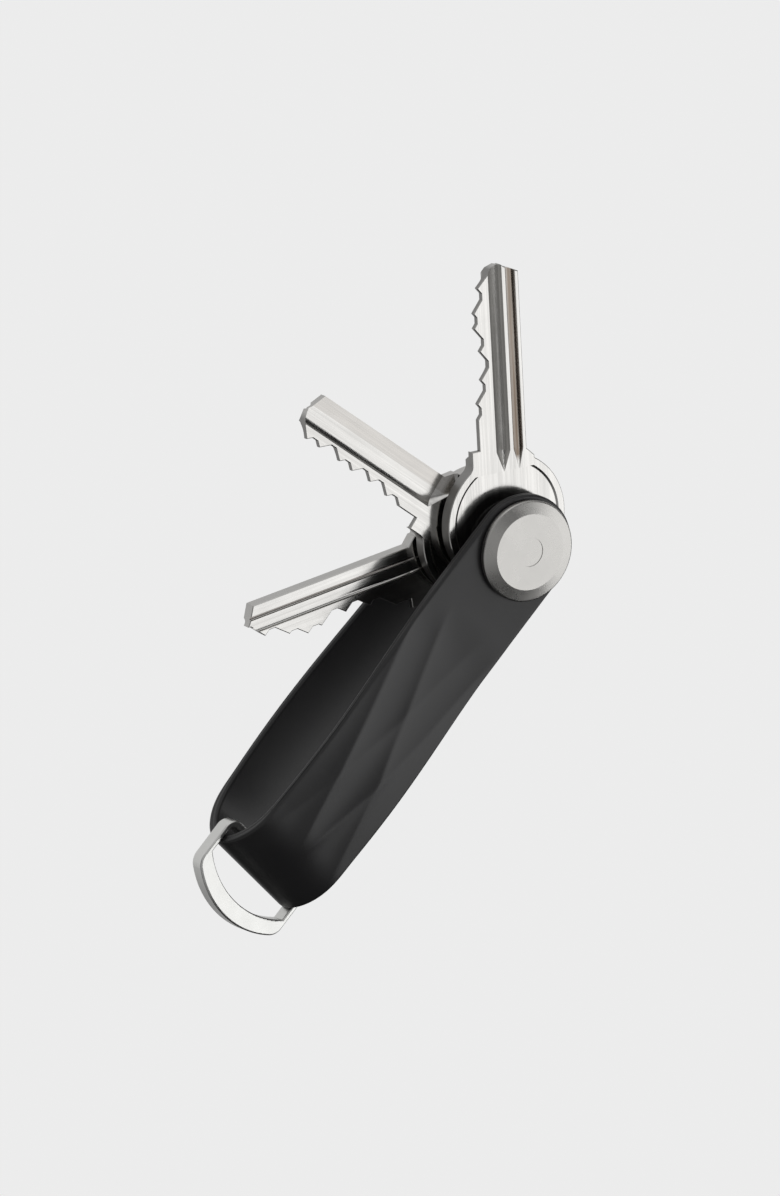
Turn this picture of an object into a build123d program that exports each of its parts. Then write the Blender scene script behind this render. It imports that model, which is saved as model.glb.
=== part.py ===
"""Key organiser: three keys fan out of a folded elastomer strap on one screwed pivot.

The pivot axis is Z and the strap runs from it along -Y to its fold, which holds a D-ring.
The origin is on the pivot axis, on the face of the rear screw head that the organiser lies on.
"""
from build123d import *
from math import radians, tan
import os

# Strap: two leaves of one band, apart at the pivot and joined by the fold, which runs a little
# askew, so that it reaches further from the pivot on the +X side.
strap_width = 17.3
leaf = 1.6
fold_reach = 64.9
fold_skew = 3.0
flat_reach = 11.0
head_height = 1.5
rear_leaf_bottom = head_height
front_leaf_top = 15.7
fold_height = 9.1
front_belly = [(26.0, 16.6), (42.0, 17.8), (53.0, 17.5), (61.2, 15.4)]
rear_belly = [(61.4, 3.2), (53.0, 0.7), (42.0, 0.01), (26.0, 0.65)]

# Pivot: internally threaded post under the front cap, and a screw with a wide slotted head.
post_radius = 2.5
post_head_radius = 4.0
post_head_height = 1.0
post_gap = 0.3
running_clearance = 0.05
screw_radius = 1.6
screw_length = 9.5
screw_end_chamfer = 0.4
screw_hole_depth = 12.7
cap_radius = 8.0
cap_face_radius = 6.0
cap_rim_height = 1.1
cap_height = 1.7
cap_edge = 0.35
seat_radius = 7.3
seat_height = 0.3
dimple_radius = 2.3
dimple_depth = 0.1
slot_length = 10.0
slot_width = 1.8
slot_depth = 0.7
seal_inner = 5.0
seal_outer = 6.2
seal_height = 0.7
seal_slack = 0.05
seal_edge = 0.2

# Stack of washers and keys, from the front eyelet's flange down to the rear one's.
eyelet_radius = 3.6
flange_radius = 5.2
flange = 0.3
washer_radius = 7.0
washer_bore = post_radius + 0.1
front_washer_thickness = 0.5
rear_washer_thickness = 0.38
spring_plate = 0.3
spring_radius = 4.9
spacer_radius = 5.6
spacer_thickness = 0.66
slip = 0.02
key_thickness = 2.2
key_tops = [12.35, 9.45, 6.55]

# Keys: one bow and neck, with grooves, cuts and a fan angle of its own for each key. Along u the
# blade runs out from the pivot, and v is positive on the cut side.
bow_radius = 10.5
bow_offset = 4.2
centre_line = 0.8
neck_end = 16.0
neck_upper = 6.45
neck_lower = -4.7
neck_chamfer = 1.3
neck_step = 2.4
upper_fillet = 1.6
lower_fillet = 0.3
cut_flat = 1.0
cut_slope = 0.8
crest_rise = 0.7
tip_slope = 1.04
tip_drop = 1.1
tip_bevel = 1.5
tip_round = (0.4, 0.5)
bow_rim = 1.1
bow_pocket = 0.12
bow_pocket_slope = 0.35
bow_pocket_end = 12.0
# Each groove: its lower and upper edge, its depth, and how far its scooped side reaches in.
upper_grooves = [(-0.4, 2.1, 0.9, 2.1), (-2.75, -1.0, 0.6, 0.6)]
middle_grooves = [(-7.0, 2.1, 0.8, 1.9)]
lower_grooves = [(-1.75, -1.1, 0.35, 0.35), (0.05, 1.0, 0.45, 0.45)]
rear_grooves = [(-1.2, 0.1, 0.8, 0.8), (2.0, 7.0, 1.45, 1.45)]
mill_start = 15.2
mill_runout = 3.2
mill_wall_share = 0.15
mill_end_width = 0.1
mill_end_depth = 0.03
edge_break = 0.12

# D-ring, cut from plate: a straight bar in the fold, two arms and a broad curved bow.
ring_thickness = 2.6
ring_height = 9.2
ring_lift = 4.7
ring_shift = 0.2
bar_centre = 61.05
bar_width = 1.3
ring_inner_half = 8.9
arm_width = 0.85
arm_reach = 5.7
bow_inner_reach = 8.75
bow_outer_reach = 11.65
bow_outer_drop = 3.55
bar_inner_corner = 0.9
bar_outer_corner = 2.1
bow_outer_corner = 2.5
ring_edge = 0.3


def disc(radius, bottom, top):
    """Solid cylinder about the pivot axis."""
    return Pos(0, 0, bottom) * extrude(Circle(radius), top - bottom)


def tube(outer, inner, bottom, top):
    """Hollow cylinder about the pivot axis."""
    return Pos(0, 0, bottom) * extrude(Circle(outer) - Circle(inner), top - bottom)


def leaf_curves(points, tangents):
    """Outer spline of a leaf and its inner one, a leaf's thickness to the left of it."""
    outer = Spline(points, tangents=tangents, tangent_scalars=[1, 1])
    inner_points = []
    for point in points:
        inward = outer.tangent_at(outer.param_at_point(point)).rotate(Axis.Z, 90)
        inner_points.append(Vector(point) + leaf * inward)
    return outer, Spline(inner_points, tangents=tangents, tangent_scalars=[1, 1])


def strap():
    """Folded band with round leaf ends and two eyelet holes."""
    overrun = strap_width
    fold = (-fold_reach, fold_height)
    front_start = (-flat_reach, front_leaf_top)
    rear_end = (-flat_reach, rear_leaf_bottom)
    front_points = [front_start] + [(-reach, height) for reach, height in front_belly] + [fold]
    rear_points = [fold] + [(-reach, height) for reach, height in rear_belly] + [rear_end]
    front_outer, front_inner = leaf_curves(front_points, [(-1, 0), (0, -1)])
    rear_outer, rear_inner = leaf_curves(rear_points, [(0, -1), (1, 0)])
    section = make_face(Curve() + [
        Polyline(front_inner @ 0, (overrun, front_leaf_top - leaf), (overrun, front_leaf_top), front_start),
        front_outer,
        rear_outer,
        Polyline(rear_end, (overrun, rear_leaf_bottom), (overrun, rear_leaf_bottom + leaf), rear_inner @ 1),
        rear_inner,
        front_inner,
    ])
    fold_line = (1, -tan(radians(fold_skew)), 0)
    band = extrude(Plane.YZ * section, strap_width, dir=fold_line, both=True)

    end = strap_width / 2
    far = -(fold_reach + strap_width)
    outline = make_face(Curve() + [
        ThreePointArc((-end, 0), (0, end), (end, 0)),
        Polyline((end, 0), (end, far), (-end, far), (-end, 0)),
    ])
    band &= extrude(outline, 2 * front_leaf_top)
    return band - disc(eyelet_radius, 0, 2 * front_leaf_top)


def eyelet(leaf_bottom, flange_bottom):
    """Metal bush through one leaf, with a flange on the inside that the washers press on."""
    bore = post_radius + running_clearance
    bush = tube(eyelet_radius, bore, leaf_bottom, leaf_bottom + leaf)
    return bush + tube(flange_radius, bore, flange_bottom, flange_bottom + flange)


def domed_disc():
    """Cap shape standing on z = 0: a seat, a rim with a rounded edge and a bevel up to a flat face."""
    rim = (cap_radius, cap_rim_height)
    profile = make_face(Polyline(
        (0, 0), (seat_radius, 0), (seat_radius, seat_height), (cap_radius, seat_height),
        rim, (cap_face_radius, cap_height), (0, cap_height), close=True))
    profile = fillet(profile.vertices().sort_by_distance(rim)[0], cap_edge)
    return revolve(Plane.XZ * profile, Axis.Z)


def front_cap():
    """Front cap with a plain centre dimple, pressed onto the head of the post."""
    cap = Pos(0, 0, front_leaf_top) * domed_disc()
    face = front_leaf_top + cap_height
    cap -= disc(dimple_radius, face - dimple_depth, face)
    return cap - disc(post_head_radius, front_leaf_top, front_leaf_top + post_head_height)


def pivot_post():
    """Headed barrel that the keys turn on, open at the rear for the screw."""
    bottom = head_height + post_gap
    post = disc(post_radius, bottom, front_leaf_top)
    post += disc(post_head_radius, front_leaf_top, front_leaf_top + post_head_height)
    return post - disc(screw_radius + running_clearance, bottom, bottom + screw_hole_depth)


def lock_screw():
    """Tension screw: shank, wide head with a seal groove, and a coin slot in its face."""
    head = Pos(0, 0, head_height) * Rot(180, 0, 0) * domed_disc()
    head &= disc(cap_radius + 1, 0, head_height)
    head -= tube(seal_outer, seal_inner, head_height - seal_height, head_height)
    head -= extrude(SlotOverall(slot_length, slot_width), slot_depth)
    shank = disc(screw_radius, head_height, head_height + screw_length)
    return head + chamfer(shank.edges().sort_by(Axis.Z)[-1], screw_end_chamfer)


def sealing_ring():
    """Elastomer ring that fills the groove in the screw head up to the strap."""
    bottom = head_height - seal_height + seal_slack
    ring = tube(seal_outer - seal_slack, seal_inner + seal_slack, bottom, head_height)
    return fillet(ring.edges(), seal_edge)


def disc_spring(bottom, top):
    """Coned spring washer, its outer edge down and its inner edge up."""
    profile = make_face(Polyline(
        (washer_bore, top - spring_plate), (washer_bore, top),
        (spring_radius, bottom + spring_plate), (spring_radius, bottom), close=True))
    return revolve(Plane.XZ * profile, Axis.Z)


def cut_edge(first_cut, pitch, depths, blade_top):
    """Points of the cut edge from the shoulder to the tip: flat-bottomed cuts with sloped flanks."""
    half = cut_flat / 2
    start = first_cut - half - (blade_top - depths[0]) / cut_slope
    points = [(start, blade_top)]
    for index, depth in enumerate(depths):
        centre = first_cut + index * pitch
        points += [(centre - half, depth), (centre + half, depth)]
        if index + 1 < len(depths):
            run = pitch - cut_flat
            rise = depths[index + 1] - depth
            peak = centre + half + (run + rise / cut_slope) / 2
            points.append((peak, depth + (peak - centre - half) * cut_slope))
    return points


def groove_section(bottom_v, top_v, depth, scoop):
    """Section of a groove: a steep wall, a flat floor and a scooped side up to its upper edge."""
    height = key_thickness / 2
    floor = height - depth
    wall = mill_wall_share * (top_v - bottom_v)
    return make_face(Curve() + [
        Polyline((top_v, height), (bottom_v, height), (bottom_v + wall, floor), (top_v - scoop, floor)),
        TangentArc((top_v - scoop, floor), (top_v, height), tangent=(1, 0)),
    ])


def mill(bottom_v, top_v, depth, scoop, reach):
    """Cutter for one long groove in the upper face, running out to a point in the neck."""
    profile = groove_section(bottom_v, top_v, depth, scoop)
    middle = (bottom_v + top_v) / 2
    half = mill_end_width / 2
    small = groove_section(middle - half, middle + half, mill_end_depth, mill_end_depth)
    straight = extrude(Plane.YZ.offset(mill_start) * profile, reach - mill_start + 1)
    sections = [Plane.YZ.offset(mill_start) * profile,
                Plane.YZ.offset(mill_start - mill_runout) * small]
    return straight + loft(sections)


def bow_relief():
    """Cutter for the shallow panel in the upper face of the bow."""
    outer = bow_radius - bow_rim
    top = key_thickness / 2
    profile = make_face(Polyline(
        (0, top), (outer, top), (outer - bow_pocket_slope, top - bow_pocket),
        (0, top - bow_pocket), close=True))
    panel = Pos(bow_offset, centre_line, 0) * revolve(Plane.XZ * profile, Axis.Z)
    limit = Box(2 * bow_radius, 3 * bow_radius, 2 * key_thickness,
                align=(Align.MAX, Align.CENTER, Align.CENTER))
    return panel & (Pos(bow_pocket_end, 0, 0) * limit)


def key(first_cut, pitch, depths, blade_top, spine, reach, front_grooves):
    """One key lying along +X, centred in height on z = 0, with its pivot hole at the origin."""
    tip_v = centre_line - tip_drop
    edge = cut_edge(first_cut, pitch, depths, blade_top)
    last_u, last_v = edge[-1]
    crest_v = last_v + crest_rise
    crest_u = last_u + (crest_v - last_v) / cut_slope
    round_u, round_v = tip_round
    corner_v = crest_v - (reach - round_v - crest_u) * tip_slope
    blade = make_face(Polyline(
        (bow_offset, neck_lower), (neck_end - neck_step, neck_lower),
        (neck_end - neck_step + neck_chamfer, spine), (reach - tip_bevel, spine),
        (reach - round_u, tip_v - round_v), (reach, tip_v), (reach - round_v, corner_v),
        (crest_u, crest_v), *reversed(edge),
        (neck_end, blade_top), (neck_end, neck_upper), (bow_offset, neck_upper), close=True))
    bow = Pos(bow_offset, centre_line) * Circle(bow_radius)
    outline = bow + blade
    upper_root = outline.vertices().filter_by_position(Axis.Y, neck_upper - 0.01, neck_upper + 0.01)
    outline = fillet(upper_root.sort_by(Axis.X)[0], upper_fillet)
    lower_root = outline.vertices().filter_by_position(Axis.Y, neck_lower - 0.01, neck_lower + 0.01)
    outline = fillet(lower_root.sort_by(Axis.X)[0], lower_fillet)
    blank = extrude(outline, key_thickness / 2, both=True)
    blank = chamfer(blank.faces().filter_by(Axis.Z).edges(), edge_break)
    for side in (Rot(0, 0, 0), Pos(0, 2 * centre_line, 0) * Rot(180, 0, 0)):
        blank -= side * bow_relief()
    for bottom_v, top_v, depth, scoop in front_grooves:
        blank -= mill(bottom_v, top_v, depth, scoop, reach)
    for bottom_v, top_v, depth, scoop in rear_grooves:
        blank -= Rot(180, 0, 0) * mill(-top_v, -bottom_v, depth, scoop, reach)
    return blank - extrude(Circle(post_radius + running_clearance), key_thickness, both=True)


def place_key(shape, angle, top):
    """Turn a key about the pivot and set its upper face at a height."""
    return Pos(0, 0, top - key_thickness / 2) * Rot(0, 0, angle) * shape


def d_ring():
    """Flat ring about its bar, with eased edges, in line with the fold and its bow a little raised."""
    outer_half = ring_inner_half + arm_width
    bar_half = bar_width / 2
    shoulder = -(bow_outer_reach - bow_outer_drop)
    outer = make_face(Curve() + [
        Polyline((outer_half, shoulder), (outer_half, bar_half),
                 (-outer_half, bar_half), (-outer_half, shoulder)),
        ThreePointArc((-outer_half, shoulder), (0, -bow_outer_reach), (outer_half, shoulder)),
    ])
    inner = make_face(Curve() + [
        Polyline((ring_inner_half, -arm_reach), (ring_inner_half, -bar_half),
                 (-ring_inner_half, -bar_half), (-ring_inner_half, -arm_reach)),
        ThreePointArc((-ring_inner_half, -arm_reach), (0, -bow_inner_reach),
                      (ring_inner_half, -arm_reach)),
    ])
    outer = fillet(outer.vertices().sort_by(Axis.Y)[:2], bow_outer_corner)
    outer = fillet(outer.vertices().sort_by(Axis.Y)[-2:], bar_outer_corner)
    inner = fillet(inner.vertices().sort_by(Axis.Y)[-2:], bar_inner_corner)
    ring = extrude(outer - inner, ring_thickness / 2, both=True)
    ring = fillet(ring.faces().filter_by(Axis.Z).edges(), ring_edge)
    along_fold = Pos(ring_shift, -bar_centre, ring_height) * Rot(0, 0, -fold_skew)
    return along_fold * Rot(-ring_lift, 0, 0) * ring


front_flange = front_leaf_top - leaf - flange
rear_flange = rear_leaf_bottom + leaf
rear_washer_top = key_tops[2] - key_thickness - slip
rear_washer_bottom = rear_washer_top - rear_washer_thickness

parts = {
    "strap": strap(),
    "front_eyelet": eyelet(front_leaf_top - leaf, front_flange),
    "rear_eyelet": eyelet(rear_leaf_bottom, rear_flange),
    "front_cap": front_cap(),
    "pivot_post": pivot_post(),
    "lock_screw": lock_screw(),
    "sealing_ring": sealing_ring(),
    "front_washer": tube(washer_radius, washer_bore,
                         front_flange - front_washer_thickness, front_flange),
    "filler_ring": tube(spacer_radius, washer_bore, key_tops[0] + slip,
                        front_flange - front_washer_thickness),
    "spacer_upper": tube(spacer_radius, washer_bore, key_tops[1] + slip,
                         key_tops[0] - key_thickness - slip),
    "spacer_lower": tube(spacer_radius, washer_bore, key_tops[2] + slip,
                         key_tops[1] - key_thickness - slip),
    "rear_washer": tube(washer_radius, washer_bore, rear_washer_bottom, rear_washer_top),
    "disc_spring": disc_spring(rear_flange + flange, rear_washer_bottom),
    "key_upper": place_key(
        key(22.15, 3.58, [4.45, 3.55, 2.75, 3.45, 4.4, 3.35], 5.05, -3.35, 44.5, upper_grooves),
        137.7, key_tops[0]),
    "key_middle": place_key(
        key(21.4, 3.52, [3.65, 2.95, 2.85, 3.25, 2.55, 3.2], 4.55, -3.2, 42.4, middle_grooves),
        188.0, key_tops[1]),
    "key_lower": place_key(
        key(21.9, 3.7, [2.85, 1.95, 2.0, 3.35, 2.8, 1.3], 4.9, -3.35, 44.4, lower_grooves),
        235.3, key_tops[2]),
    "d_ring": d_ring(),
}

os.makedirs("parts", exist_ok=True)
for name, shape in parts.items():
    shape.label = name
    export_step(shape, f"parts/{name}.step")
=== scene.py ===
"""Looks of the key organiser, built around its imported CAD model. Lengths are in metres."""
import bpy
import math
import numpy as np
from mathutils import Matrix, Vector


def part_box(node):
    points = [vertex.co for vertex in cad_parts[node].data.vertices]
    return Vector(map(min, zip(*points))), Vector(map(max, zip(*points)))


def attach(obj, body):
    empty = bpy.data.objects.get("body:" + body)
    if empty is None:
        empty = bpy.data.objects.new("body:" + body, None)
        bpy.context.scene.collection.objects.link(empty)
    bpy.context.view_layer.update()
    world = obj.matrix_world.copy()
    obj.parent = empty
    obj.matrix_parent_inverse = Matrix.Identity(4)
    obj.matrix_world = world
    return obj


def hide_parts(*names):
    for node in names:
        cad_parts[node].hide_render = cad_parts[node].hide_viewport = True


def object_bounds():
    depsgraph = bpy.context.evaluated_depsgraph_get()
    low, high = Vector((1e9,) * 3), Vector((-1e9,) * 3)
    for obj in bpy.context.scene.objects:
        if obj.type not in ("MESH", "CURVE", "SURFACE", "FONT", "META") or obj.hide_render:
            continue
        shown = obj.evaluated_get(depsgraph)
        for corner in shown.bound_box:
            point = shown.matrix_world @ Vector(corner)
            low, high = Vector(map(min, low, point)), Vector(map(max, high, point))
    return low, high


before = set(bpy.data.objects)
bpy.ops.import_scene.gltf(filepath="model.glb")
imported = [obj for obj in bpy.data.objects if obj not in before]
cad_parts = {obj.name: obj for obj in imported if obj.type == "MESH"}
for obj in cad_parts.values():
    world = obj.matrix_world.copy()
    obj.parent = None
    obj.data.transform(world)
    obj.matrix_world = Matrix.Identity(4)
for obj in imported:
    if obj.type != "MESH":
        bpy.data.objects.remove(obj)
cad_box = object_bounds()
mm = 0.001

# Strap band, as in the CAD model: the outer line of each leaf from the pivot to the fold, in
# millimetres, and the fold's slant across the band, which starts beyond the pivot's flat.
half_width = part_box("strap")[1][0]
leaf = 1.6 * mm
hole = 3.6 * mm
front_line = [(11.0, 15.7), (26.0, 16.6), (42.0, 17.8), (53.0, 17.5), (61.2, 15.4), (64.9, 9.1)]
rear_line = [(64.9, 9.1), (61.4, 3.2), (53.0, 0.7), (42.0, 0.01), (26.0, 0.65), (11.0, 1.5)]
fold_slant = math.tan(math.radians(3.0))
slant_from, slant_to = 12.0 * mm, 30.0 * mm

# Moulded edge of the band: its radius, and the parting line round the middle of its side, as rows of
# (depth under the outer face, distance drawn in).
edge_radius = 0.42 * mm
parting_half = 0.10 * mm
parting_depth = 0.05 * mm
parting_rows = [(leaf / 2 - parting_half, 0.0), (leaf / 2, parting_depth), (leaf / 2 + parting_half, 0.0)]

# Mesh laid over the band: rows round the edge, size of a quad, where the straight strip starts and
# ends, steps along and round each end, and rings between an end's edge and its hole. Points closer
# than weld are one point.
edge_rings = 5
grid = 0.31 * mm
strip_start = 10.0 * mm
side_steps, arc_steps, hole_rings = 20, 64, 12
weld = 0.0001 * mm

# Ridges moulded into each leaf: distance from the pivot and offset across, in millimetres,
# then how steep each one is beside its crest.
ridges = [
    ([(19, -9.1), (24, -8.0), (28, -7.2), (36, -5.6), (44, -4.1), (52, -2.3), (60, -0.4)], 0.235),
    ([(13, -4.9), (20, -3.0), (28, -0.9), (36, 1.2), (44, 3.6), (52, 5.8), (60, 8.0)], 0.200),
    ([(17, 7.9), (24, 6.7), (32, 5.5), (40, 3.9), (48, 2.3), (60, 0.0)], 0.185),
    ([(13, 4.6), (20, 3.0), (28, 1.0), (36, -0.9), (44, -3.1), (52, -5.2), (60, -7.4)], 0.095),
]
# How far a ridge spreads, how rounded its crest is, the share of its height taken off all over, and
# the distances from the pivot where the relief starts, is full, starts to fade and ends.
ridge_spread = 2.6 * mm
ridge_soft = 0.16 * mm
ridge_level = 0.35
ridge_fade = (13.0 * mm, 21.0 * mm, 54.0 * mm, 61.0 * mm)


def smooth(low, high, value):
    """0 below low, 1 above high and a soft step between."""
    t = np.clip((value - low) / (high - low), 0, 1)
    return t * t * (3 - 2 * t)


def clamped_curve(points, start, end, steps=900):
    """Points of the smooth curve through some points that leaves along start and arrives along end."""
    points = np.array(points) * mm
    spans = np.linalg.norm(np.diff(points, axis=0), axis=1)
    slopes = np.diff(points, axis=0) / spans[:, None]
    count = len(points)
    system = np.eye(count)
    values = np.zeros((count, 2))
    values[0], values[-1] = start, end
    for i in range(1, count - 1):
        before, after = spans[i - 1], spans[i]
        system[i, i - 1:i + 2] = after, 2 * (before + after), before
        values[i] = 3 * (after * slopes[i - 1] + before * slopes[i])
    rates = np.linalg.solve(system, values)
    knots = np.concatenate([[0], np.cumsum(spans)])
    t = np.linspace(0, knots[-1], steps)
    index = np.clip(np.searchsorted(knots, t, side="right") - 1, 0, count - 2)
    span = spans[index][:, None]
    u = ((t - knots[index]) / spans[index])[:, None]
    a, b = points[index], points[index + 1]
    ra, rb = rates[index] * span, rates[index + 1] * span
    return (a * (1 + 2 * u) * (1 - u) ** 2 + ra * u * (1 - u) ** 2
            + b * u * u * (3 - 2 * u) + rb * u * u * (u - 1))


def band_line():
    """Outer line of the whole band: lengths along it, reach from the pivot and height."""
    front = clamped_curve(front_line, (1, 0), (0, -1))
    rear = clamped_curve(rear_line, (0, -1), (-1, 0))
    first = np.array([[-half_width - mm, front[0, 1]]])
    last = np.array([[-half_width - mm, rear[-1, 1]]])
    line = np.concatenate([first, front, rear[1:], last])
    steps = np.linalg.norm(np.diff(line, axis=0), axis=1)
    lengths = np.concatenate([[0], np.cumsum(steps)]) - half_width - mm
    return lengths, line


lengths, line = band_line()
band_length = lengths[-1] - half_width - mm
slope = np.gradient(line, lengths, axis=0)
slope /= np.linalg.norm(slope, axis=1)[:, None]


def relief(along, across):
    """Height of the moulded ridges over a leaf's plain face: sharp crests with hollows between them."""
    rear = along > band_length / 2
    along = np.where(rear, band_length - along, along)
    across = np.where(rear, -across, across)
    total = np.zeros_like(along)
    for crest, steep in ridges:
        reach, offset = np.array(crest, dtype=float).T * mm
        away = across - np.interp(along, reach, offset)
        distance = np.sqrt(away ** 2 + ridge_soft ** 2)
        total += steep * ridge_spread * (np.exp(-distance / ridge_spread) - ridge_level)
    start, full, hold, end = ridge_fade
    return total * smooth(start, full, along) * (1 - smooth(hold, end, along))


def band_point(along, across, depth):
    """Place of a point of the band: along it, across it and under its outer face."""
    reach = np.interp(along, lengths, line[:, 0])
    height = np.interp(along, lengths, line[:, 1])
    run = np.interp(along, lengths, slope[:, 0])
    rise = np.interp(along, lengths, slope[:, 1])
    size = np.hypot(run, rise)
    inward_reach, inward_height = rise / size, -run / size
    slant = fold_slant * across * smooth(slant_from, slant_to, reach)
    away = reach + slant + depth * inward_reach
    return np.stack([across, -away, height + depth * inward_height], axis=-1)


class Sheet:
    """Quads of the band's plan. Each point is (along, across, distance in from the edge)."""

    def __init__(self):
        self.points, self.faces, self.known = [], [], {}

    def point(self, along, across, edge):
        """Index of the point at a place, which is added if it is new."""
        key = (round(along / weld), round(across / weld))
        if key not in self.known:
            self.known[key] = len(self.points)
            self.points.append((along, across, edge))
        return self.known[key]

    def quads(self, rows):
        """Faces between each row of points and the next."""
        for upper, lower in zip(rows, rows[1:]):
            for a, b, c, d in zip(upper, upper[1:], lower[1:], lower):
                if len({a, b, c, d}) == 4:
                    self.faces.append((a, b, c, d))


def straight_strip(sheet, insets, columns):
    """Quads between the two ends, with narrow rows down both edges."""
    count = round((band_length - 2 * strip_start) / grid)
    inner = half_width - edge_radius
    rows = []
    for r in range(count + 1):
        along = strip_start + (band_length - 2 * strip_start) * r / count
        row = [sheet.point(along, -(half_width - e), e) for e in insets[:-1]]
        row += [sheet.point(along, inner * (2 * c / columns - 1), edge_radius) for c in range(columns + 1)]
        row += [sheet.point(along, half_width - e, e) for e in reversed(insets[:-1])]
        rows.append(row)
    sheet.quads(rows)


def end_path():
    """Line round an end, as (shift along, share of the radius along, share across)."""
    path = [(strip_start * (1 - k / side_steps), 0.0, -1.0) for k in range(side_steps)]
    for k in range(arc_steps + 1):
        turn = math.pi * k / arc_steps
        path.append((0.0, -math.sin(turn), -math.cos(turn)))
    return path + [(strip_start * (k + 1) / side_steps, 0.0, 1.0) for k in range(side_steps)]


def round_end(sheet, insets, columns, mirrored):
    """Quads of one round end, from its edge in to its hole."""
    def place(along, across, edge):
        return sheet.point(band_length - along if mirrored else along, across, edge)

    loops = []
    for e in insets:
        radius = half_width - e
        loops.append([(shift + radius * along, radius * across, e) for shift, along, across in end_path()])
    before = len(sheet.faces)
    sheet.quads([[place(*p) for p in loop] for loop in loops])

    limit = half_width - edge_radius
    closing = [(strip_start, limit * (1 - 2 * c / columns), edge_radius) for c in range(1, columns)]
    around = loops[-1] + closing + [loops[-1][0]]
    rings = [[place(*p) for p in around]]
    for k in range(1, hole_rings + 1):
        share = k / hole_rings
        ring = []
        for along, across, _ in around:
            scale = 1 - share + share * hole / math.hypot(along, across)
            ring.append(place(along * scale, across * scale, edge_radius))
        rings.append(ring)
    sheet.quads(rings)
    if mirrored:
        sheet.faces[before:] = [tuple(reversed(face)) for face in sheet.faces[before:]]


def flat_sheet():
    """The band's whole plan: its points and its faces."""
    sheet = Sheet()
    turns = [math.pi / 2 * k / edge_rings for k in range(edge_rings, -1, -1)]
    insets = [edge_radius * (1 - math.sin(turn)) for turn in turns]
    columns = round(2 * (half_width - edge_radius) / grid)
    straight_strip(sheet, insets, columns)
    for mirrored in (False, True):
        round_end(sheet, insets, columns, mirrored)
    return np.array(sheet.points), sheet.faces


def boundary_loops(faces):
    """Closed loops of the vertices round a sheet's edge and round each hole."""
    used = {(a, b): True for face in faces for a, b in zip(face, face[1:] + face[:1])}
    left = {a: b for a, b in used if (b, a) not in used}
    loops = []
    while left:
        start, here = next(iter(left.items()))
        del left[start]
        loop = [start]
        while here != start:
            loop.append(here)
            here = left.pop(here)
        loops.append(loop)
    return loops


def edge_row(along, across, depth, inset):
    """Points of the band's side at a depth, drawn in towards its middle line by an inset."""
    pull = (half_width - inset) / half_width
    shifted = np.where(along < 0, along * pull, along)
    shifted = np.where(along > band_length, band_length + (along - band_length) * pull, shifted)
    return band_point(shifted, across * pull, depth)


def strap_mesh():
    """The band with its two faces, its moulded edge all round and its two holes, as one closed mesh."""
    plan, faces = flat_sheet()
    along, across, edge = plan.T
    count = len(plan)
    round_depth = edge_radius - np.sqrt(np.maximum(edge_radius ** 2 - (edge_radius - edge) ** 2, 0))
    points = [*band_point(along, across, round_depth - relief(along, across)),
              *band_point(along, across, leaf - round_depth)]
    mesh_faces = [tuple(face) for face in faces]
    mesh_faces += [tuple(count + i for i in reversed(face)) for face in faces]
    for loop in boundary_loops(faces):
        rings = [loop]
        on_side = edge[loop[0]] < edge_radius / 2
        for depth, inset in parting_rows if on_side else []:
            rings.append(list(range(len(points), len(points) + len(loop))))
            points += list(edge_row(along[loop], across[loop], depth, inset))
        rings.append([count + i for i in loop])
        for upper, lower in zip(rings, rings[1:]):
            for i in range(len(loop)):
                mesh_faces.append((upper[i], upper[i - 1], lower[i - 1], lower[i]))
    mesh = bpy.data.meshes.new("strap_band")
    mesh.from_pydata([tuple(p) for p in points], [], mesh_faces)
    mesh.validate()
    mesh.polygons.foreach_set("use_smooth", [True] * len(mesh.polygons))
    return mesh


# Materials ------------------------------------------------------------------------------------

# The Mix node's sockets for colours.
color_a, color_b, color_result = 6, 7, 2

nickel = (0.72, 0.71, 0.69)
brown = (0.30, 0.24, 0.19)
dark_brown = (0.13, 0.10, 0.08)

# Each key: the angle that it is fanned out to, as in the CAD model, then how stained the grooves on its
# spine side are, and with what.
keys = [("key_upper", 137.7, 1.0, brown), ("key_middle", 188.0, 0.3, brown),
        ("key_lower", 235.3, 1.0, dark_brown)]

# Brushing of the keys: noise per metre along the blade, across it and in height.
fine_lines = (70.0, 5200.0, 5200.0)
broad_bands = (22.0, 1100.0, 1100.0)
brushed_roughness = 0.15
brushed_depth = 0.006 * mm

# Upright walls of the keys, darkened with painted shade: how far up the surface's normal points on a wall
# and on a flat, how bright the painted shade leaves a wall on the spine side and on the cut side, where
# one changes to the other, and how much rougher.
wall_below, flat_above = 0.10, 0.45
spine_wall_shade, cut_wall_shade = 0.85, 0.45
spine_side_end, cut_side_start = 0.5 * mm, 1.5 * mm
wall_roughness = 0.2

# Stain: how deep under a key's face it is full, and where it ends across the blade.
worn_from = 0.4 * mm
worn_edge, worn_blur = -1.0 * mm, 0.1 * mm


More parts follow.
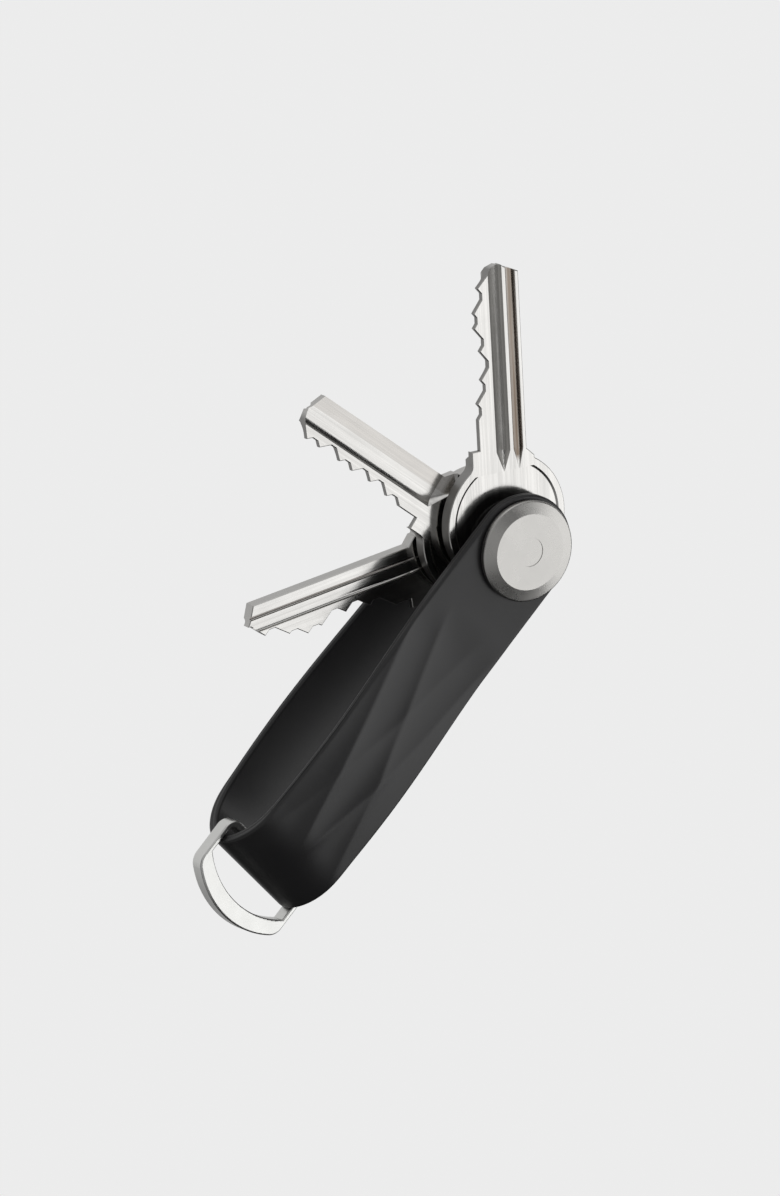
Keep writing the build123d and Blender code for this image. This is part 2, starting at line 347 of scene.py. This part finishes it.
class Shader:
    """A new material with a Principled shader, and short calls to add nodes to it."""

    def __init__(self, name, color, **sockets):
        self.material = bpy.data.materials.new(name)
        self.material.use_nodes = True
        self.tree = self.material.node_tree
        self.tree.nodes.clear()
        out = self.tree.nodes.new("ShaderNodeOutputMaterial")
        self.main = self.tree.nodes.new("ShaderNodeBsdfPrincipled")
        self.link(self.main.outputs[0], out.inputs["Surface"])
        self.main.inputs["Base Color"].default_value = (*color, 1.0)
        for key, value in sockets.items():
            self.main.inputs[key.replace("_", " ")].default_value = value

    def link(self, source, target):
        self.tree.links.new(source, target)

    def add(self, kind, **inputs):
        node = self.tree.nodes.new("ShaderNode" + kind)
        for key, value in inputs.items():
            self.feed(node.inputs[key.replace("_", " ")], value)
        return node

    def feed(self, socket, value):
        if isinstance(value, bpy.types.NodeSocket):
            self.link(value, socket)
        else:
            socket.default_value = value

    def place(self, turn=0.0, scale=(1.0, 1.0, 1.0)):
        """Object coordinates in metres, turned about the pivot axis and scaled."""
        source = self.add("TexCoord").outputs["Object"]
        turned = self.add("VectorRotate", Vector=source, Angle=-turn)
        return self.math_vector("MULTIPLY", turned.outputs[0], scale)

    def math_vector(self, operation, a, b):
        node = self.tree.nodes.new("ShaderNodeVectorMath")
        node.operation = operation
        self.feed(node.inputs[0], a)
        self.feed(node.inputs[1], b)
        return node.outputs[0]

    def math(self, operation, a, b=0.0):
        node = self.tree.nodes.new("ShaderNodeMath")
        node.operation = operation
        self.feed(node.inputs[0], a)
        self.feed(node.inputs[1], b)
        return node.outputs[0]

    def noise(self, vector, scale, detail=3.0, rough=0.55):
        node = self.add("TexNoise", Vector=vector, Scale=scale, Detail=detail, Roughness=rough)
        return node.outputs["Fac"]

    def span(self, value, low, high, start, end):
        """Value mapped from low..high to start..end, held at both ends."""
        node = self.add("MapRange", Value=value, From_Min=low, From_Max=high, To_Min=start, To_Max=end)
        return node.outputs[0]

    def mix(self, factor, a, b):
        node = self.tree.nodes.new("ShaderNodeMix")
        node.data_type = "RGBA"
        self.feed(node.inputs[0], factor)
        self.feed(node.inputs[color_a], (*a, 1.0) if isinstance(a, tuple) else a)
        self.feed(node.inputs[color_b], (*b, 1.0) if isinstance(b, tuple) else b)
        return node.outputs[color_result]

    def color(self, value):
        self.feed(self.main.inputs["Base Color"], value)

    def roughness(self, value):
        self.feed(self.main.inputs["Roughness"], value)

    def bump(self, height, distance, strength):
        node = self.add("Bump", Height=height, Distance=distance, Strength=strength)
        self.link(node.outputs[0], self.main.inputs["Normal"])


def shade(color, share):
    """A colour made darker or lighter."""
    return tuple(min(1.0, share * c) for c in color)


def elastomer():
    """Matt black moulded elastomer with faint patches and a fine grain."""
    dark, light = (0.0175, 0.0175, 0.019), (0.024, 0.0235, 0.024)
    patch_scale, grain_scale, grain_depth = 140.0, 5200.0, 0.012 * mm
    s = Shader("strap_elastomer", (0.020, 0.020, 0.021), Roughness=0.37, Specular_IOR_Level=0.54)
    spot = s.place()
    patch = s.noise(spot, patch_scale, 3.0)
    s.color(s.mix(patch, dark, light))
    grain = s.noise(spot, grain_scale, 2.0, 0.6)
    uneven = s.math("ADD", patch, s.math("MULTIPLY", grain, 0.5))
    s.roughness(s.span(uneven, 0.4, 1.1, 0.33, 0.41))
    s.bump(grain, grain_depth, 0.6)
    return s.material


def stain_mask(s, height, across, face, bands, flat, worn):
    """Where a key's grooves are stained: below its face, on the spine side and not on walls."""
    sunk = s.span(height, face - worn_from, face - worn_from / 2, 1.0, 0.0)
    spine_side = s.span(across, worn_edge, worn_edge + worn_blur, 1.0, 0.0)
    streaks = s.span(bands, 0.35, 0.6, 0.6 * worn, worn)
    return s.math("MULTIPLY", s.math("MULTIPLY", s.math("MULTIPLY", sunk, spine_side), flat), streaks)


def brushed(name, turn, face, worn, stain):
    """Nickel plate brushed along a key's blade, with painted shade on its upright walls, darkest on the
    cut side, and stained grooves on the spine side.

    turn is the key's fan angle and face the height of its upper face.
    """
    cloud_scale = 260.0
    rough = brushed_roughness
    s = Shader(name, nickel, Metallic=1.0, Roughness=rough)
    lines = s.noise(s.place(turn, fine_lines), 1.0, 3.0, 0.6)
    bands = s.noise(s.place(turn, broad_bands), 1.0, 2.0)
    cloud = s.noise(s.place(), cloud_scale, 3.0)
    tone = s.span(s.math("ADD", lines, bands), 0.75, 1.25, 0.0, 1.0)
    base = s.mix(tone, shade(nickel, 0.80), shade(nickel, 1.05))

    spot = s.add("SeparateXYZ", Vector=s.place(turn)).outputs
    upright = s.add("SeparateXYZ", Vector=s.add("TexCoord").outputs["Normal"]).outputs["Z"]
    flat = s.span(s.math("ABSOLUTE", upright), wall_below, flat_above, 0.0, 1.0)
    mask = stain_mask(s, spot["Z"], spot["Y"], face, bands, flat, worn)
    base = s.mix(mask, base, s.mix(lines, shade(stain, 0.3), stain))
    # Painted shade: upright walls get a darker copy of the nickel, darker still on the cut side than on
    # the spine side.
    cut_side_shade = s.span(spot["Y"], spine_side_end, cut_side_start, 0.0, 1.0)
    wall_shade = s.mix(cut_side_shade, shade(nickel, spine_wall_shade), shade(nickel, cut_wall_shade))
    s.color(s.mix(flat, wall_shade, base))

    uneven = s.span(s.math("ADD", lines, cloud), 0.7, 1.3, rough - 0.05, rough + 0.06)
    on_wall = s.math("SUBTRACT", 1.0, flat)
    s.roughness(s.math("ADD", uneven, s.math("MULTIPLY", on_wall, wall_roughness)))
    s.bump(lines, brushed_depth, 0.6)
    return s.material


def satin(name, color, rough):
    """Bead-blasted metal with an even fine grain."""
    cloud_scale, grain_scale, grain_depth = 320.0, 7500.0, 0.002 * mm
    s = Shader(name, color, Metallic=1.0, Roughness=rough)
    spot = s.place()
    cloud = s.noise(spot, cloud_scale, 3.0)
    grain = s.noise(spot, grain_scale, 2.0, 0.6)
    s.color(s.mix(cloud, shade(color, 0.95), shade(color, 1.03)))
    s.roughness(s.span(cloud, 0.3, 0.7, rough - 0.03, rough + 0.04))
    s.bump(grain, grain_depth, 0.5)
    return s.material


def turned(name, color, rough):
    """Turned metal with rings round the pivot axis."""
    ring_scale, ring_depth = 9000.0, 0.004 * mm
    s = Shader(name, color, Metallic=1.0, Roughness=rough)
    radius = s.add("VectorMath", Vector=s.math_vector("MULTIPLY", s.place(), (1.0, 1.0, 0.0)))
    radius.operation = "LENGTH"
    spread = s.math("MULTIPLY", radius.outputs["Value"], ring_scale)
    rings = s.noise(s.add("CombineXYZ", X=spread).outputs[0], 1.0)
    s.color(s.mix(rings, shade(color, 0.9), color))
    s.roughness(s.span(rings, 0.3, 0.7, rough, rough + 0.1))
    s.bump(rings, ring_depth, 0.5)
    return s.material


def polymer(name, color, rough):
    """Plain polymer or rubber with a faint grain."""
    grain_scale, grain_depth = 3000.0, 0.006 * mm
    s = Shader(name, color, Roughness=rough)
    grain = s.noise(s.place(), grain_scale, 3.0)
    s.color(s.mix(grain, shade(color, 0.8), shade(color, 1.2)))
    s.roughness(s.span(grain, 0.3, 0.7, rough - 0.05, rough + 0.08))
    s.bump(grain, grain_depth, 0.5)
    return s.material


def paint(node, material):
    """Give every material slot of a CAD node one material."""
    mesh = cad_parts[node].data
    if not mesh.materials:
        mesh.materials.append(material)
    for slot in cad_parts[node].material_slots:
        slot.material = material


for key, degrees, worn, stain in keys:
    key_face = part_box(key)[1][2]
    paint(key, brushed(key + "_nickel", math.radians(degrees), key_face, worn, stain))
cap = satin("cap_metal", (0.57, 0.56, 0.54), 0.27)
for node in ("front_cap", "lock_screw"):
    paint(node, cap)
paint("d_ring", satin("ring_steel", (0.82, 0.82, 0.80), 0.30))
bush = turned("bush_steel", (0.60, 0.60, 0.60), 0.28)
for node in ("front_eyelet", "rear_eyelet", "pivot_post"):
    paint(node, bush)
paint("disc_spring", turned("spring_steel", (0.45, 0.44, 0.43), 0.3))
washer = polymer("washer_polymer", (0.05, 0.05, 0.05), 0.45)
for node in ("front_washer", "filler_ring", "spacer_upper", "spacer_lower", "rear_washer"):
    paint(node, washer)
paint("sealing_ring", polymer("seal_rubber", (0.02, 0.02, 0.02), 0.6))

strap = bpy.data.objects.new("strap_band", strap_mesh())
bpy.context.scene.collection.objects.link(strap)
strap.data.materials.append(elastomer())
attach(strap, "holder")
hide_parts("strap")

# Studio ---------------------------------------------------------------------------------------

pale = (0.840, 0.840, 0.840)
floor_depth = 1.1
floor_size = 30.0

# Soft glows of the studio: direction, where each starts and where it is full, as the cosine of the
# angle away from that direction, and its strength. The left, near and back ones are there for views
# from the sides and behind, and lift the dark parts a little in the main view too.
room_base = 0.02
glows = [
    ((-0.25, 0.20, -0.95), 0.40, 0.66, 0.58),  # below
    ((-0.20, -0.20, 0.95), 0.74, 0.97, 0.34),  # above
    ((0.54, 0.78, -0.30), 0.90, 0.98, 0.30),  # far
    ((-0.90, 0.25, 0.35), 0.60, 0.92, 0.34),  # left
    ((-0.35, -0.90, 0.25), 0.68, 0.93, 0.24),  # near
    ((-0.40, 0.85, 0.40), 0.70, 0.95, 0.45),  # back
]

# Main light: direction, distance, width, height, radiance and twist about its own axis.
key_light = ((0.690, 0.390, 0.610), 0.9, 0.84, 1.00, 1.22, 0.15)

# Camera: its place, its heading, elevation and roll in degrees, and its lens in millimetres.
camera_place = (-0.50764, -0.15719, 0.76889)
heading, elevation, roll = -74.436, 55.788, 114.218
lens = 180.64


def pale_floor():
    """Plain pale floor, far enough down that the object leaves no shadow on it."""
    mesh = bpy.data.meshes.new("floor")
    half = floor_size / 2
    corners = [(-half, -half, 0), (half, -half, 0), (half, half, 0), (-half, half, 0)]
    mesh.from_pydata(corners, [], [(0, 1, 2, 3)])
    floor = bpy.data.objects.new("floor", mesh)
    floor.location = (0, 0, cad_box[0].z - floor_depth)
    bpy.context.scene.collection.objects.link(floor)
    material = bpy.data.materials.new("floor_paper")
    material.use_nodes = True
    nodes = material.node_tree.nodes
    nodes.clear()
    out = nodes.new("ShaderNodeOutputMaterial")
    glow = nodes.new("ShaderNodeEmission")
    glow.inputs["Color"].default_value = (*pale, 1.0)
    material.node_tree.links.new(glow.outputs[0], out.inputs["Surface"])
    mesh.materials.append(material)
    floor.visible_diffuse = False
    floor.visible_glossy = False
    floor.visible_shadow = False


def surroundings(base, glows):
    """Dim studio with soft glows, and plain pale where the camera sees past the floor."""
    world = bpy.data.worlds.new("studio")
    bpy.context.scene.world = world
    world.use_nodes = True
    tree = world.node_tree
    tree.nodes.clear()
    place = tree.nodes.new("ShaderNodeTexCoord")
    total = base
    for direction, start, full, strength in glows:
        towards = tree.nodes.new("ShaderNodeVectorMath")
        towards.operation = "DOT_PRODUCT"
        tree.links.new(place.outputs["Generated"], towards.inputs[0])
        towards.inputs[1].default_value = Vector(direction).normalized()
        glow = tree.nodes.new("ShaderNodeMapRange")
        glow.interpolation_type = "SMOOTHSTEP"
        glow.inputs["From Min"].default_value, glow.inputs["From Max"].default_value = start, full
        glow.inputs["To Min"].default_value, glow.inputs["To Max"].default_value = 0.0, strength
        tree.links.new(towards.outputs["Value"], glow.inputs["Value"])
        add = tree.nodes.new("ShaderNodeMath")
        tree.links.new(glow.outputs[0], add.inputs[0])
        if isinstance(total, float):
            add.inputs[1].default_value = total
        else:
            tree.links.new(total, add.inputs[1])
        total = add.outputs[0]
    studio = tree.nodes.new("ShaderNodeBackground")
    tree.links.new(total, studio.inputs["Color"])
    backdrop = tree.nodes.new("ShaderNodeBackground")
    backdrop.inputs["Color"].default_value = (*pale, 1.0)
    path = tree.nodes.new("ShaderNodeLightPath")
    both = tree.nodes.new("ShaderNodeMixShader")
    out = tree.nodes.new("ShaderNodeOutputWorld")
    tree.links.new(path.outputs["Is Camera Ray"], both.inputs[0])
    tree.links.new(studio.outputs[0], both.inputs[1])
    tree.links.new(backdrop.outputs[0], both.inputs[2])
    tree.links.new(both.outputs[0], out.inputs["Surface"])


def softbox(name, direction, distance, width, height, radiance, twist):
    """Soft rectangular light that faces the object from a direction."""
    data = bpy.data.lights.new(name, "AREA")
    data.shape = "RECTANGLE"
    data.size, data.size_y = width, height
    data.energy = radiance * math.pi * width * height
    light = bpy.data.objects.new(name, data)
    bpy.context.scene.collection.objects.link(light)
    towards = Vector(direction).normalized()
    light.location = (Vector(cad_box[0]) + Vector(cad_box[1])) / 2 + towards * distance
    light.rotation_mode = "QUATERNION"
    about_own_axis = Matrix.Rotation(twist, 3, "Z").to_quaternion()
    light.rotation_quaternion = towards.to_track_quat("Z", "Y") @ about_own_axis
    light.visible_camera = False


def camera(place, azimuth, elevation, roll, lens):
    """Camera at a place, looking along a heading and turned about its own axis."""
    a, e, r = math.radians(azimuth), math.radians(elevation), math.radians(roll)
    away = Vector((-math.sin(a) * math.cos(e), math.cos(a) * math.cos(e), -math.sin(e)))
    level = Vector((math.cos(a), math.sin(a), 0))
    above = level.cross(away)
    right = math.cos(r) * level + math.sin(r) * above
    up = math.cos(r) * above - math.sin(r) * level
    data = bpy.data.cameras.new("camera")
    data.sensor_width = 36.0
    data.lens = lens
    data.clip_start, data.clip_end = 0.01, 100.0
    made = bpy.data.objects.new("camera", data)
    bpy.context.scene.collection.objects.link(made)
    turn = Matrix((right, up, -away)).transposed()
    made.matrix_world = Matrix.Translation(place) @ turn.to_4x4()
    bpy.context.scene.camera = made


pale_floor()
surroundings(room_base, glows)
softbox("key_light", *key_light)
camera(camera_place, heading, elevation, roll, lens)
bpy.context.scene.view_settings.view_transform = "Standard"
